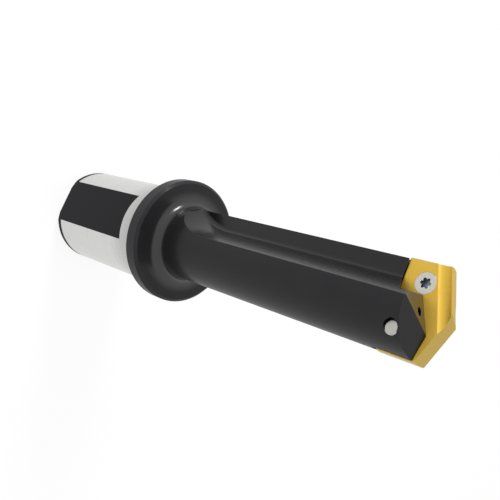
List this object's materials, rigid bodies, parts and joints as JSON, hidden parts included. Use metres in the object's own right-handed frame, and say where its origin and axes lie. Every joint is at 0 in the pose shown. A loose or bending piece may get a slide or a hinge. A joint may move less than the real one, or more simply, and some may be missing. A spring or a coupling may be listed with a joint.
{
  "type": "indexable spade drill",
  "caption": "Flanged straight-shank drill holder with two straight flutes and a screwed-on spade insert.",
  "frame": {"origin": "centre of the shank's end face, on the drill's axis", "axes": "+Z along the axis towards the point, -Y out of the clamping flat, +X along the insert"},
  "size_m": [0.039, 0.039, 0.1476],
  "materials": {
    "holder_steel": "black oxide with ground shank",
    "coated_carbide": "ground and nitride coated",
    "screw_steel": "plain polished"
  },
  "bodies": {
    "root": {"drill_body": "holder_steel", "spade_insert": "coated_carbide", "front_clamp_screw": "screw_steel", "rear_clamp_screw": "screw_steel"}
  },
  "joints": []
}
